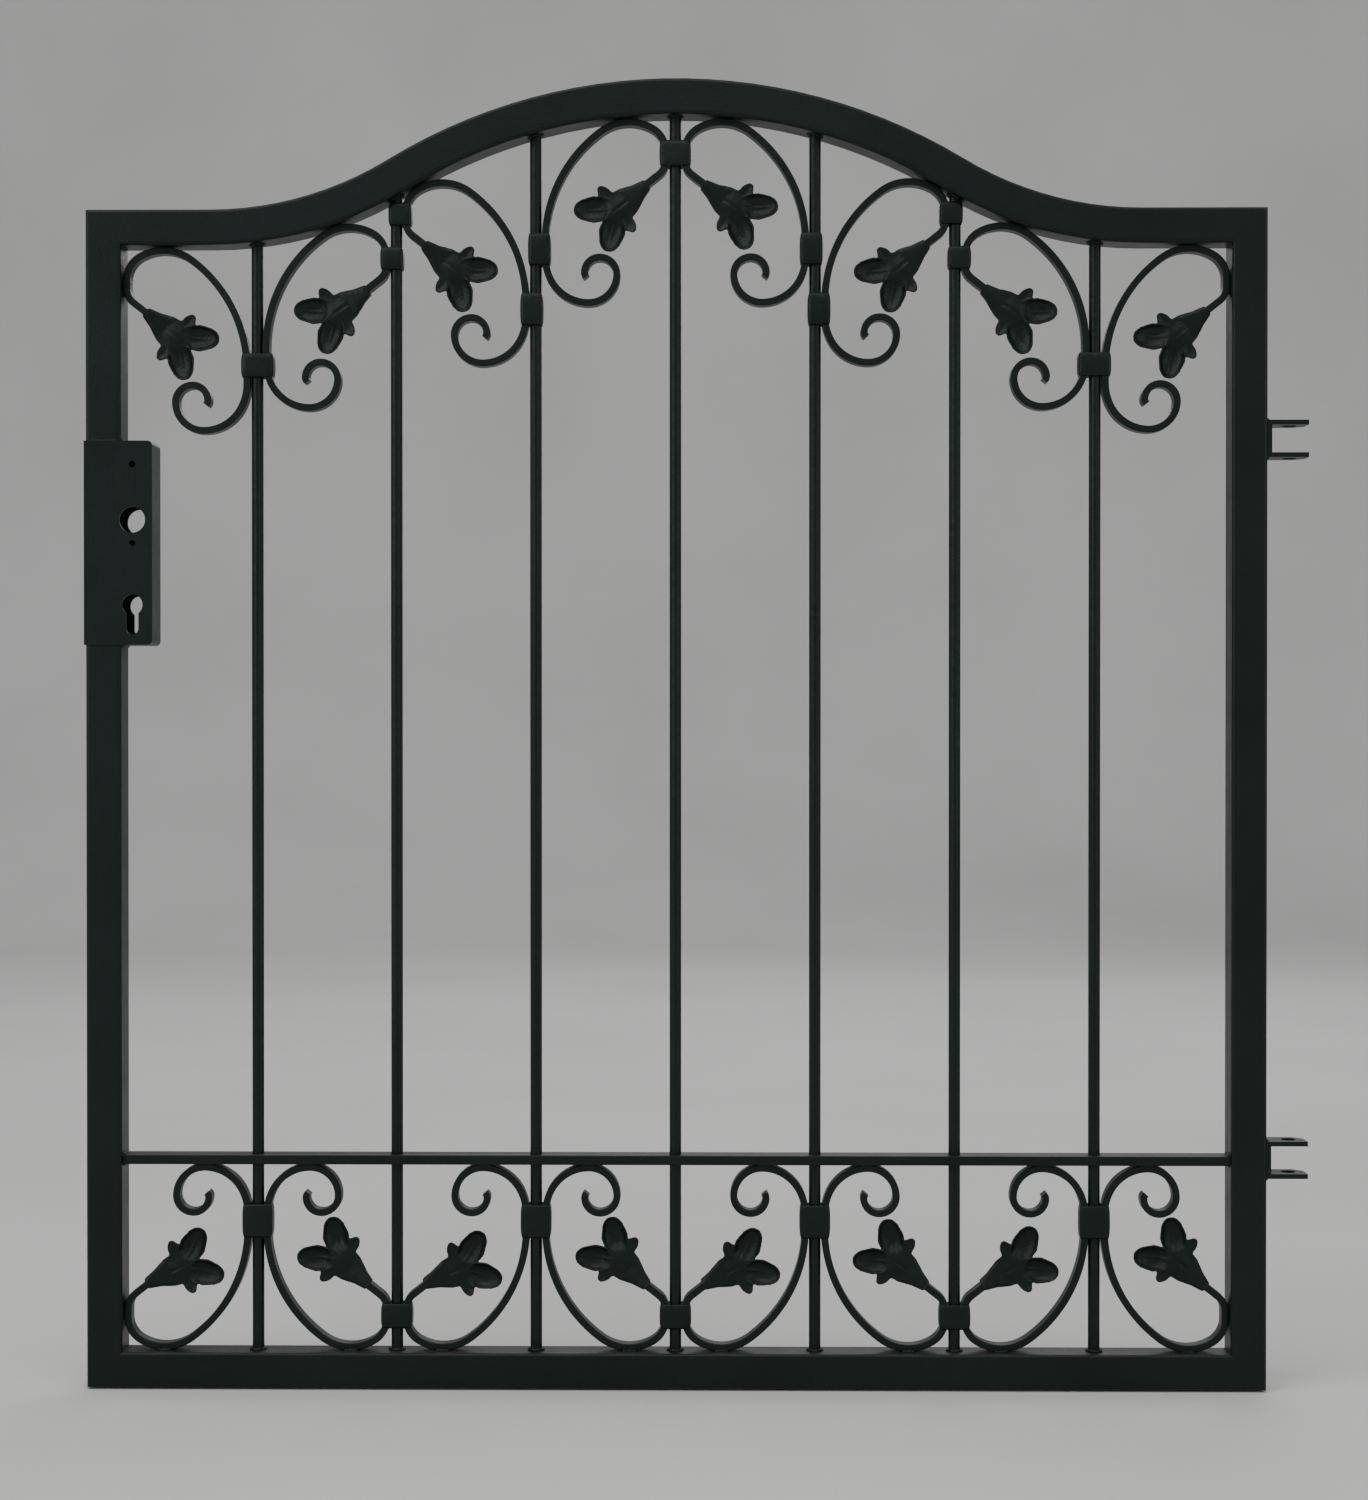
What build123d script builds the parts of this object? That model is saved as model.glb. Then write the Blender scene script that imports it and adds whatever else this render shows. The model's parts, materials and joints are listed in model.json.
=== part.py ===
from build123d import *
import os
from math import acos, atan, cos, degrees, radians, sin, sqrt

# Arched garden gate leaf in welded steel, in millimetres, +Z up.
# The frame lies in the XZ plane and faces -Y. The latch side is at -X, the hinge side at +X.
# The origin is the middle of the lower hinge's pin bore, in the frame's middle plane.

# Leaf
gate_width = 1000.0  # over both stiles
stile_height = 1000.0  # bottom of the gate to the flat ends of the top rail
crown_rise = 110.0  # crown of the arch above the flat ends
crown_radius = 455.0  # crown bend, to the tube's centre line
reverse_radius = 305.0  # bend between crown and flat end, to the centre line

# Square hollow section
tube = 30.0
tube_wall = 2.0
tube_corner = 3.0  # outside corner radius

# Upright bars and the flat rail they pass through
bar_count = 7
bar_diameter = 10.0
mid_rail_thickness = 8.0
mid_rail_depth = 20.0
punch_clearance = 0.15  # round a bar in its punched hole

# Scroll stock: flat bar bent on its edge
scroll_height = 159.0
scroll_slenderness = 1.4674  # height over width that the bends are drawn for
stock_thickness = 6.0
stock_depth = 12.0
edge_round = 0.8
tip_thinning = 0.7  # taken off each side of the stock at the coil's tip
seat_gap = 0.2  # between a scroll and what it is welded to

# Bends of a scroll, as shares of its width, so that the same scroll fits any bay
shank_share = 0.148
crook_share = 0.139
loop_share = 0.204
shoulder_share = 0.37
belly_share = 0.407
lap_share = 0.333
coil_shares = (0.222, 0.134, 0.120)  # each turns a quarter
curl_share = 0.046
leaf_slope = 38.0  # degrees, shank and leaf below level
loop_turn = 60.0  # degrees
belly_turn = 25.0
curl_turn = 50.0
loop_flat = 8.0  # straight stretches that lie along the bars
flank_flat = 12.0

# Stamped leaf, lengths as shares of the bends' scale
leaf_sheet = 2.5
leaf_socket_gap = 0.2  # between the shank's end and the leaf's root
root_width_share = 0.08
sheath_share = 0.155
sheath_width_share = 0.165
blade_centre_share = 0.26
blade_length_share = 0.125  # half length of the blade's middle
blade_width_share = 0.1
lobe_reach_share = 0.185  # blade centre to lobe centre
lobe_length_share = 0.155  # half length of a lobe
lobe_width_share = 0.105
lobe_spread = 37.0  # degrees either side of the leaf's axis
ear_reach_share = 0.125
ear_length_share = 0.092
ear_width_share = 0.04
ear_spread = 93.0
dish_radius_share = 0.34

# Collars round a bar and the scrolls beside it
collar_wall = 1.2
collar_play = 0.1
collar_corner = 1.5
flank_collar_height = 24.0
loop_collar_height = 15.0
loop_collar_lift = 2.0  # loop collars sit this much nearer to the rail
shared_collar_height = 18.0
shared_collar_step = 34.0  # contacts nearer than this, up the bar, share one collar

# Lock box, welded in between the two lengths of the latch stile
lock_box_height = 173.0
lock_box_width = 58.0
lock_box_drop = 196.0  # its top below the flat ends of the top rail
lock_box_proud = 1.0  # past the stile's outer, front and back faces
lock_box_corner = 4.0
lock_plate = 2.0
lock_backset = 40.0  # spindle and cylinder, from the stile's outer face
spindle_height = 106.0  # above the lock box's bottom
spindle_diameter = 22.0
lock_centres = 72.0  # spindle to cylinder
cylinder_diameter = 17.5
cylinder_neck = 10.5
cylinder_drop = 34.0  # overall height of the cylinder hole
rose_screw_diameter = 5.5
rose_screw_above = 47.0  # above the spindle
rose_screw_below = 20.0
case_slot_width = 20.0
case_slot_height = 148.0
forend_screw_diameter = 4.5
forend_screw_margin = 6.0  # from the box's ends

# Hinge brackets
hinge_inset = 195.0  # pin bores from the stile's ends
pin_reach = 21.0  # pin axis from the stile's outer face
pin_bore = 12.5
bracket_gap = 23.5  # clear height between the ears
bracket_plate = 4.0
bracket_depth = 25.0
bracket_reach = 35.0  # ear tips from the stile's outer face
bracket_chamfer = 8.0

# Places that follow from the driving dimensions
hinge_face_x = -pin_reach
latch_face_x = hinge_face_x - gate_width
centre_x = hinge_face_x - gate_width / 2
base_z = -hinge_inset
shoulder_z = base_z + stile_height
sill_z = base_z + tube
half_tube = tube / 2

bay_clear = (gate_width - 2 * tube - bar_count * bar_diameter) / (bar_count + 1)
bay_pitch = bay_clear + bar_diameter
scroll_width = bay_clear - 2 * seat_gap
bend_scale = min(scroll_width, scroll_height / scroll_slenderness)
mid_rail_z = sill_z + scroll_height + 2 * seat_gap
half_stock = stock_thickness / 2

# The arch is a crown bend and two reverse bends of equal turn
arch_turn = acos(1 - crown_rise / (crown_radius + reverse_radius))
arch_half_span = (crown_radius + reverse_radius) * sin(arch_turn)

# A scroll's bends, to the stock's centre line
shank = shank_share * bend_scale
crook_radius = crook_share * bend_scale
loop_radius = loop_share * bend_scale
shoulder_radius = shoulder_share * bend_scale
belly_radius = belly_share * bend_scale
lap_radius = lap_share * bend_scale
curl_radius = curl_share * bend_scale
pre_shoulder_turn = 90 - loop_turn
crook_turn = 90 - leaf_slope
lap_turn = 90 - belly_turn

# Top of the shoulder and start of the flank's straight, measured from the scroll's corner
shoulder_top_u = (
    half_stock
    + loop_radius * (1 - cos(radians(loop_turn)))
    + shoulder_radius * sin(radians(pre_shoulder_turn))
)
loop_start_v = (
    half_stock
    + shoulder_radius * (1 - cos(radians(pre_shoulder_turn)))
    + loop_radius * sin(radians(loop_turn))
)
belly_drop = belly_radius * sin(radians(belly_turn)) + lap_radius * (1 - sin(radians(belly_turn)))
flank_end_v = scroll_height - half_stock - belly_drop
flank_start_v = flank_end_v - flank_flat
shoulder_to_flank_u = scroll_width - half_stock - shoulder_top_u
shoulder_to_flank_v = flank_start_v - half_stock
flank_ratio = (shoulder_to_flank_u - shoulder_radius) / (shoulder_to_flank_v - shoulder_radius)
flank_turn = 2 * degrees(atan(flank_ratio))
flank_radius = shoulder_radius + (shoulder_to_flank_v - shoulder_radius) / sin(radians(flank_turn))

# Root of the leaf, at the end of the shank
loop_end_v = loop_start_v + loop_flat
leaf_root_u = (
    half_stock
    + crook_radius * (1 - cos(radians(crook_turn)))
    + (shank + leaf_socket_gap) * cos(radians(leaf_slope))
)
leaf_root_v = (
    loop_end_v
    + crook_radius * sin(radians(crook_turn))
    + (shank + leaf_socket_gap) * sin(radians(leaf_slope))
)

# Heights of the collars, from the rail side of a scroll
flank_contact_v = (flank_start_v + flank_end_v) / 2
loop_contact_v = loop_start_v + loop_flat / 2
loop_collar_v = loop_contact_v - loop_collar_lift


def bar_x(number):
    """Middle of an upright bar, counted from the latch side."""
    return latch_face_x + tube + number * bay_pitch - bar_diameter / 2


def arch_bends(offset):
    """Lines and arcs of the top rail, offset upwards from its centre line."""
    start = (latch_face_x, shoulder_z - half_tube + offset)
    run = Line(start, (centre_x - arch_half_span, start[1]))
    turn = degrees(arch_turn)
    for radius, sweep_angle in (
        (reverse_radius - offset, turn),
        (crown_radius + offset, -2 * turn),
        (reverse_radius - offset, turn),
    ):
        run = JernArc(run @ 1, run % 1, radius, sweep_angle)
    Line(run @ 1, (hinge_face_x, start[1]))


def arch_underside(x):
    """Height of the top rail's underside over a place along the gate."""
    across = abs(x - centre_x)
    crown = crown_radius - half_tube
    reverse = reverse_radius + half_tube
    if across >= arch_half_span:
        return shoulder_z - tube
    if across > crown * sin(arch_turn):
        return shoulder_z - tube + reverse - sqrt(reverse**2 - (arch_half_span - across) ** 2)
    return shoulder_z - tube + crown_rise - crown + sqrt(crown**2 - across**2)


def finish(part, name):
    """Label a piece and write its file."""
    part.label = name
    export_step(part, f"parts/{name}.step")


# Frame tubes, mitred at the four corners
lower_latch_mitre = Plane(origin=(latch_face_x, 0, base_z), z_dir=(-1, 0, 1))
upper_latch_mitre = Plane(origin=(latch_face_x, 0, shoulder_z), z_dir=(-1, 0, -1))
lower_hinge_mitre = Plane(origin=(hinge_face_x, 0, base_z), z_dir=(1, 0, 1))
upper_hinge_mitre = Plane(origin=(hinge_face_x, 0, shoulder_z), z_dir=(1, 0, -1))


def tube_section():
    """Hollow square section, drawn at the current location."""
    RectangleRounded(tube, tube, tube_corner)
    bore = tube - 2 * tube_wall
    RectangleRounded(bore, bore, tube_corner - tube_wall, mode=Mode.SUBTRACT)


lock_box_top_z = shoulder_z - lock_box_drop
lock_box_z = lock_box_top_z - lock_box_height

with BuildPart() as latch_stile_lower:
    with BuildSketch(Plane.XY.offset(base_z)):
        with Locations((latch_face_x + half_tube, 0)):
            tube_section()
    extrude(amount=lock_box_z - base_z)
    split(bisect_by=lower_latch_mitre, keep=Keep.TOP)
finish(latch_stile_lower.part, "latch_stile_lower")

with BuildPart() as latch_stile_upper:
    with BuildSketch(Plane.XY.offset(lock_box_top_z)):
        with Locations((latch_face_x + half_tube, 0)):
            tube_section()
    extrude(amount=shoulder_z - lock_box_top_z)
    split(bisect_by=upper_latch_mitre, keep=Keep.TOP)
finish(latch_stile_upper.part, "latch_stile_upper")

with BuildPart() as hinge_stile:
    with BuildSketch(Plane.XY.offset(base_z)):
        with Locations((hinge_face_x - half_tube, 0)):
            tube_section()
    extrude(amount=stile_height)
    split(bisect_by=lower_hinge_mitre, keep=Keep.TOP)
    split(bisect_by=upper_hinge_mitre, keep=Keep.TOP)
finish(hinge_stile.part, "hinge_stile")

with BuildPart() as bottom_rail:
    with BuildSketch(Plane.YZ.offset(latch_face_x)):
        with Locations((0, base_z + half_tube)):
            tube_section()
    extrude(amount=gate_width)
    split(bisect_by=lower_latch_mitre, keep=Keep.BOTTOM)
    split(bisect_by=lower_hinge_mitre, keep=Keep.BOTTOM)
finish(bottom_rail.part, "bottom_rail")

with BuildPart() as top_rail:
    with BuildLine(Plane.XZ) as arch:
        arch_bends(0)
    with BuildSketch(Plane(origin=arch.line @ 0, x_dir=(0, 1, 0), z_dir=(1, 0, 0))):
        tube_section()
    sweep()
    split(bisect_by=upper_latch_mitre, keep=Keep.BOTTOM)
    split(bisect_by=upper_hinge_mitre, keep=Keep.BOTTOM)
finish(top_rail.part, "top_rail")

with BuildPart() as mid_rail:
    with BuildSketch(Plane.XY.offset(mid_rail_z)):
        with Locations((centre_x, 0)):
            Rectangle(gate_width - 2 * tube, mid_rail_depth)
    extrude(amount=mid_rail_thickness)
    fillet(mid_rail.edges().filter_by(Axis.X), edge_round)
    with BuildSketch(Plane.XY.offset(mid_rail_z)):
        with Locations([(bar_x(number), 0) for number in range(1, bar_count + 1)]):
            Circle(bar_diameter / 2 + punch_clearance)
    extrude(amount=mid_rail_thickness, mode=Mode.SUBTRACT)
finish(mid_rail.part, "mid_rail")

# Everything above the arch's underside, which trims the tops of the bars
with BuildPart() as above_arch:
    with BuildSketch(Plane.XZ):
        with BuildLine():
            arch_bends(-half_tube)
            Polyline(
                (hinge_face_x, shoulder_z - tube),
                (hinge_face_x, shoulder_z + crown_rise),
                (latch_face_x, shoulder_z + crown_rise),
                (latch_face_x, shoulder_z - tube),
            )
        make_face()
    extrude(amount=tube, both=True)

for number in range(1, bar_count + 1):
    with BuildPart() as bar:
        with BuildSketch(Plane.XY.offset(sill_z)):
            with Locations((bar_x(number), 0)):
                Circle(bar_diameter / 2)
        extrude(amount=shoulder_z + crown_rise - sill_z)
        add(above_arch.part, mode=Mode.SUBTRACT)
    finish(bar.part, f"bar_{number}")


# Scrolls. A scroll is drawn in the axes of its own corner: u runs from the bar beside its loop
# towards the bar beside its flank, and the other axis points at the rail that it is welded to.
def scroll_side(side):
    """One side of the stock: 1 is the outside of the bends, -1 the inside, 0 the middle."""
    heading = Vector(-cos(radians(leaf_slope)), sin(radians(leaf_slope)))
    left = Vector(-heading.Y, heading.X)
    foot = Vector(
        half_stock + crook_radius * (1 - cos(radians(crook_turn))),
        -loop_end_v - crook_radius * sin(radians(crook_turn)),
    )
    foot += left * (side * half_stock)
    run = Line(foot - heading * shank, foot)
    first = run
    bends = [
        (crook_radius, crook_turn),
        (loop_flat, 0),
        (loop_radius, loop_turn),
        (shoulder_radius, pre_shoulder_turn + 90 - flank_turn),
        (flank_radius, flank_turn),
        (flank_flat, 0),
        (belly_radius, belly_turn),
        (lap_radius, lap_turn),
    ]
    bends += [(share * bend_scale, 90) for share in coil_shares]
    for size, turn in bends:
        if turn:
            run = JernArc(run @ 1, run % 1, size + side * half_stock, -turn)
        else:
            run = Line(run @ 1, run @ 1 + (run % 1) * size)
    run = JernArc(run @ 1, run % 1, curl_radius + side * (half_stock - tip_thinning), -curl_turn)
    return first @ 0, run @ 1


def scroll_plane(corner, side, rail_side):
    """Side 1 has the loop at -X, rail_side 1 has the rail above."""
    return Plane(origin=corner, x_dir=(side, 0, 0), z_dir=(0, -side * rail_side, 0))


def scroll_profile(plane):
    with BuildSketch(plane) as profile:
        with BuildLine():
            outer_root, outer_tip = scroll_side(1)
            inner_root, inner_tip = scroll_side(-1)
            Line(outer_root, inner_root)
            Line(outer_tip, inner_tip)
        make_face()
    return profile.sketch


# Leaf blank in its own plane: root at the origin, axis along +X, hollow of the lobes towards +Z
def polar(distance, angle):
    return distance * cos(radians(angle)), distance * sin(radians(angle))


blade_centre = blade_centre_share * bend_scale
lobe_length = lobe_length_share * bend_scale
dish_radius = dish_radius_share * bend_scale
dish_height = sqrt(dish_radius**2 - lobe_length**2)


def lobe_centre(angle):
    along, across = polar(lobe_reach_share * bend_scale, angle)
    return blade_centre + along, across


lobes = []
for lobe_angle in (-lobe_spread, lobe_spread):
    with BuildPart() as lobe:
        with BuildSketch(Plane.XY.offset(-dish_radius)):
            with Locations(Location((*lobe_centre(lobe_angle), 0), lobe_angle)):
                Ellipse(lobe_length, lobe_width_share * bend_scale)
        extrude(amount=2 * dish_radius)
        with Locations((*lobe_centre(lobe_angle), dish_height)):
            Sphere(dish_radius + leaf_sheet / 2, mode=Mode.INTERSECT)
            Sphere(dish_radius - leaf_sheet / 2, mode=Mode.SUBTRACT)
            cap = 2 * dish_radius
            with Locations((0, 0, cap / 2)):
                Box(cap, cap, cap, mode=Mode.SUBTRACT)
    lobes.append(lobe.part)

with BuildPart() as leaf_blank:
    with BuildSketch(Plane.XY.offset(-leaf_sheet / 2)):
        with Locations((blade_centre, 0)):
            Ellipse(blade_length_share * bend_scale, blade_width_share * bend_scale)
        for ear_angle in (-ear_spread, ear_spread):
            along, across = polar(ear_reach_share * bend_scale, ear_angle)
            with Locations(Location((blade_centre + along, across, 0), ear_angle)):
                Ellipse(ear_length_share * bend_scale, ear_width_share * bend_scale)
    extrude(amount=leaf_sheet)
    with BuildSketch(Plane.YZ):
        Rectangle(root_width_share * bend_scale, stock_depth)
    with BuildSketch(Plane.YZ.offset(sheath_share * bend_scale)):
        Rectangle(sheath_width_share * bend_scale, leaf_sheet)
    loft()
    add(lobes)


def add_leaf(corner, side, rail_side):
    """Copy of the blank, its hollows towards the front of the gate."""
    axis = Vector(side * cos(radians(leaf_slope)), 0, -rail_side * sin(radians(leaf_slope)))
    root = corner + Vector(side * leaf_root_u, 0, -rail_side * leaf_root_v)
    with Locations(Plane(origin=root, x_dir=axis, z_dir=(0, -1, 0))):
        add(leaf_blank.part)


# A top scroll rises until the nearest point of its back meets the arch
with BuildLine() as scroll_back:
    scroll_side(1)
back_points = [scroll_back.line @ (step / 240) for step in range(160)]

top_corners = {}
for bay in range(1, bar_count + 2):
    bay_side = 1 if bay % 2 else -1
    bay_left_x = latch_face_x + tube + (bay - 1) * bay_pitch
    corner_x = bay_left_x + seat_gap if bay_side > 0 else bay_left_x + bay_clear - seat_gap
    room = [arch_underside(corner_x + bay_side * point.X) - point.Y for point in back_points]
    top_corner = Vector(corner_x, 0, min(room) - seat_gap)
    bottom_corner = Vector(corner_x, 0, sill_z + seat_gap)
    top_corners[bay] = top_corner
    for row, corner, rail_side in (("top", top_corner, 1), ("bottom", bottom_corner, -1)):
        with BuildPart() as scroll:
            profile = scroll_profile(scroll_plane(corner, bay_side, rail_side))
            extrude(profile, amount=stock_depth / 2, both=True)
            sides = scroll.faces().filter_by(Axis.Y).edges()
            long_edges = [edge for edge in sides if edge.length > stock_thickness + edge_round]
            fillet(long_edges, edge_round)
        finish(scroll.part, f"{row}_scroll_{bay}")
        with BuildPart() as leaf:
            add_leaf(corner, bay_side, rail_side)
        finish(leaf.part, f"{row}_leaf_{bay}")


# Collars
def bow(radius, along):
    """How far a bend has left its tangent, at a distance along it."""
    return radius - sqrt(radius**2 - along**2) if along > 0 else 0


def reach_past_bar(top_z, bottom_z, straight_top_z, straight_bottom_z, upper_radius, lower_radius):
    """Inside of a collar from its bar's face, so that it clears the scroll at both ends."""
    leaving = max(
        bow(upper_radius - half_stock, top_z - straight_top_z),
        bow(lower_radius - half_stock, straight_bottom_z - bottom_z),
    )
    return seat_gap + stock_thickness + leaving + collar_play


def collar_section(number, bottom_z, left_reach, right_reach):
    """Band round bar and scrolls; a reach is how far its inside is from the bar's face."""
    inner_left = bar_x(number) - bar_diameter / 2 - left_reach
    inner_right = bar_x(number) + bar_diameter / 2 + right_reach
    inner_width = inner_right - inner_left
    inner_depth = stock_depth + 2 * collar_play
    with BuildSketch(Plane.XY.offset(bottom_z)) as section:
        with Locations(((inner_left + inner_right) / 2, 0)):
            RectangleRounded(
                inner_width + 2 * collar_wall, inner_depth + 2 * collar_wall, collar_corner
            )
            Rectangle(inner_width, inner_depth, mode=Mode.SUBTRACT)
    return section.sketch


def contact(bay, meets_flank, row):
    """Height and shape of a scroll where it lies along a bar."""
    if row == "top":
        corner_z, down = top_corners[bay].Z, -1
    else:
        corner_z, down = sill_z + seat_gap, 1
    near, far = (flank_start_v, flank_end_v) if meets_flank else (loop_start_v, loop_end_v)
    radii = (flank_radius, belly_radius) if meets_flank else (loop_radius, crook_radius)
    ends = corner_z + down * near, corner_z + down * far
    collar_v = flank_contact_v if meets_flank else loop_collar_v
    if down > 0:
        ends, radii = ends[::-1], radii[::-1]
    return corner_z + down * collar_v, ends, radii


def collar_reach(z, height, ends, radii):
    return reach_past_bar(z + height / 2, z - height / 2, *ends, *radii)


# At every odd bar the flanks of the scrolls meet it, at the others their loops do
flank_bars = [number for number in range(1, bar_count + 1) if number % 2]
loop_bars = [number for number in range(1, bar_count + 1) if number % 2 == 0]
crown_bar = (bar_count + 1) // 2

for group, numbers, height in (
    ("bottom_flank_collars", flank_bars, flank_collar_height),
    ("bottom_loop_collars", loop_bars, loop_collar_height),
):
    with BuildPart() as collars:
        for number in numbers:
            z, ends, radii = contact(number, number in flank_bars, "bottom")
            reach = collar_reach(z, height, ends, radii)
            extrude(collar_section(number, z - height / 2, reach, reach), amount=height)
    finish(collars.part, group)

with BuildPart() as crown_collar:
    crown_height = flank_collar_height if crown_bar in flank_bars else loop_collar_height
    z, ends, radii = contact(crown_bar, crown_bar in flank_bars, "top")
    reach = collar_reach(z, crown_height, ends, radii)
    section = collar_section(crown_bar, z - crown_height / 2, reach, reach)
    extrude(section, amount=crown_height)
finish(crown_collar.part, "crown_collar")

# Along the arch the two scrolls beside a bar meet it at different heights. Each has a collar of
# its own, or where they are too close for that, one collar half way between holds both.
for group, numbers, height in (
    ("top_flank_collars", flank_bars, flank_collar_height),
    ("top_loop_collars", loop_bars, loop_collar_height),
):
    with BuildPart() as collars:
        for number in numbers:
            if number == crown_bar:
                continue
            left = contact(number, number in flank_bars, "top")
            right = contact(number + 1, number in flank_bars, "top")
            if abs(left[0] - right[0]) < shared_collar_step:
                shared_z = (left[0] + right[0]) / 2
                left_reach = collar_reach(shared_z, shared_collar_height, *left[1:])
                right_reach = collar_reach(shared_z, shared_collar_height, *right[1:])
                bottom_z = shared_z - shared_collar_height / 2
                section = collar_section(number, bottom_z, left_reach, right_reach)
                extrude(section, amount=shared_collar_height)
            else:
                left_reach = collar_reach(left[0], height, *left[1:])
                right_reach = collar_reach(right[0], height, *right[1:])
                left_bottom_z = left[0] - height / 2
                right_bottom_z = right[0] - height / 2
                left_section = collar_section(number, left_bottom_z, left_reach, collar_play)
                right_section = collar_section(number, right_bottom_z, collar_play, right_reach)
                extrude(left_section, amount=height)
                extrude(right_section, amount=height)
    finish(collars.part, group)

# Lock box: two faces, a bent rim and a slotted forend strip
lock_box_x = latch_face_x - lock_box_proud
lock_box_inner_x = lock_box_x + lock_box_width
lock_box_depth = tube + 2 * lock_box_proud
lock_cavity = lock_box_depth - 2 * lock_plate
lock_axis_x = latch_face_x + lock_backset
spindle_z = lock_box_z + spindle_height
cylinder_z = spindle_z - lock_centres


def lock_box_outline(inset):
    """Box seen from the front, drawn a wall's thickness smaller on three sides for the rim."""
    bottom_z = lock_box_z + inset
    top_z = lock_box_top_z - inset
    inner_x = lock_box_inner_x - inset
    radius = lock_box_corner - inset
    with BuildSketch() as outline:
        with BuildLine():
            FilletPolyline(
                (lock_box_x, bottom_z),
                (inner_x, bottom_z),
                (inner_x, top_z),
                (lock_box_x, top_z),
                radius=radius,
            )
            Line((lock_box_x, top_z), (lock_box_x, bottom_z))
        make_face()
    return outline.sketch


def lock_box_holes():
    """Holes for the handle's spindle and screws, and the profile cylinder."""
    with Locations((lock_axis_x, spindle_z)):
        Circle(spindle_diameter / 2, mode=Mode.SUBTRACT)
    screws = spindle_z + rose_screw_above, spindle_z - rose_screw_below
    with Locations([(lock_axis_x, screw_z) for screw_z in screws]):
        Circle(rose_screw_diameter / 2, mode=Mode.SUBTRACT)
    with Locations((lock_axis_x, cylinder_z)):
        Circle(cylinder_diameter / 2, mode=Mode.SUBTRACT)
    foot_z = cylinder_z + cylinder_diameter / 2 - cylinder_drop + cylinder_neck / 2
    with Locations((lock_axis_x, foot_z)):
        Circle(cylinder_neck / 2, mode=Mode.SUBTRACT)
    with Locations((lock_axis_x, (foot_z + cylinder_z) / 2)):
        Rectangle(cylinder_neck, cylinder_z - foot_z, mode=Mode.SUBTRACT)


for face_name, face_y in (
    ("lock_box_front", -lock_box_depth / 2),
    ("lock_box_back", lock_box_depth / 2 - lock_plate),
):
    with BuildPart() as lock_box_face:
        with BuildSketch(Plane.XZ.offset(-face_y)):
            add(lock_box_outline(0))
            lock_box_holes()
        extrude(amount=-lock_plate)
    finish(lock_box_face.part, face_name)

with BuildPart() as lock_box_rim:
    with BuildSketch(Plane.XZ):
        add(lock_box_outline(0))
    extrude(amount=lock_cavity / 2, both=True)
    with BuildSketch(Plane.XZ):
        add(lock_box_outline(lock_plate))
    extrude(amount=lock_cavity / 2, both=True, mode=Mode.SUBTRACT)
finish(lock_box_rim.part, "lock_box_rim")

with BuildPart() as lock_box_forend:
    with BuildSketch(Plane.YZ.offset(lock_box_x)):
        with Locations((0, lock_box_z + lock_box_height / 2)):
            Rectangle(lock_cavity, lock_box_height - 2 * lock_plate)
            SlotOverall(case_slot_height, case_slot_width, rotation=90, mode=Mode.SUBTRACT)
            screw_offset = lock_box_height / 2 - forend_screw_margin
            with Locations((0, screw_offset), (0, -screw_offset)):
                Circle(forend_screw_diameter / 2, mode=Mode.SUBTRACT)
    extrude(amount=lock_plate)
finish(lock_box_forend.part, "lock_box_forend")


# Hinge brackets: each a strip bent to a U, with a pin bore through both ears
bracket_height = bracket_gap + 2 * bracket_plate
bracket_tip_x = hinge_face_x + bracket_reach
half_depth = bracket_depth / 2

for bracket_name, pin_z in (
    ("lower_hinge_bracket", 0),
    ("upper_hinge_bracket", stile_height - 2 * hinge_inset),
):
    bottom_z = pin_z - bracket_height / 2
    with BuildPart() as bracket:
        for ear_z in (bottom_z, bottom_z + bracket_height - bracket_plate):
            with BuildSketch(Plane.XY.offset(ear_z)):
                with BuildLine():
                    Polyline(
                        (hinge_face_x, -half_depth),
                        (bracket_tip_x, -half_depth),
                        (bracket_tip_x, half_depth - bracket_chamfer),
                        (bracket_tip_x - bracket_chamfer, half_depth),
                        (hinge_face_x, half_depth),
                        close=True,
                    )
                make_face()
                Circle(pin_bore / 2, mode=Mode.SUBTRACT)
            extrude(amount=bracket_plate)
        with BuildSketch(Plane.XY.offset(bottom_z)):
            with Locations((hinge_face_x + bracket_plate / 2, 0)):
                Rectangle(bracket_plate, bracket_depth)
        extrude(amount=bracket_height)
    finish(bracket.part, bracket_name)
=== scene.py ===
import json
import math
import random

import bmesh
import bpy
from mathutils import Matrix, Vector


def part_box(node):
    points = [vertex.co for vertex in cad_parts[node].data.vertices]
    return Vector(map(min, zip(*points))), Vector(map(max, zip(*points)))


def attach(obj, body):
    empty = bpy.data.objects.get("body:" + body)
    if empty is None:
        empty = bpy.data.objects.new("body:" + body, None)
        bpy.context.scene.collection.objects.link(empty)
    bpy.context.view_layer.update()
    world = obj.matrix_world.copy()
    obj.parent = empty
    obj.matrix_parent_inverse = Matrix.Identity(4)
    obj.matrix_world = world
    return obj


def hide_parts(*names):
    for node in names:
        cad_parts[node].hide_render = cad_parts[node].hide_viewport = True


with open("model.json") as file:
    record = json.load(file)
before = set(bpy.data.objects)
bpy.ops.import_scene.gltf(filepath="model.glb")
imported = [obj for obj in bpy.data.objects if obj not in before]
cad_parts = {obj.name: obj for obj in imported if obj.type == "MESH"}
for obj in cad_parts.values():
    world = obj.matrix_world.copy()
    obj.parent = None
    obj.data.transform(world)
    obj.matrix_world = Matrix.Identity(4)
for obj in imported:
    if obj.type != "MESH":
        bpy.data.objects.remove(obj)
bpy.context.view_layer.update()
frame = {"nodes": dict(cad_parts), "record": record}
nodes = frame["nodes"]

MM = 0.001
BARS = 7
BAYS = BARS + 1


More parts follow.
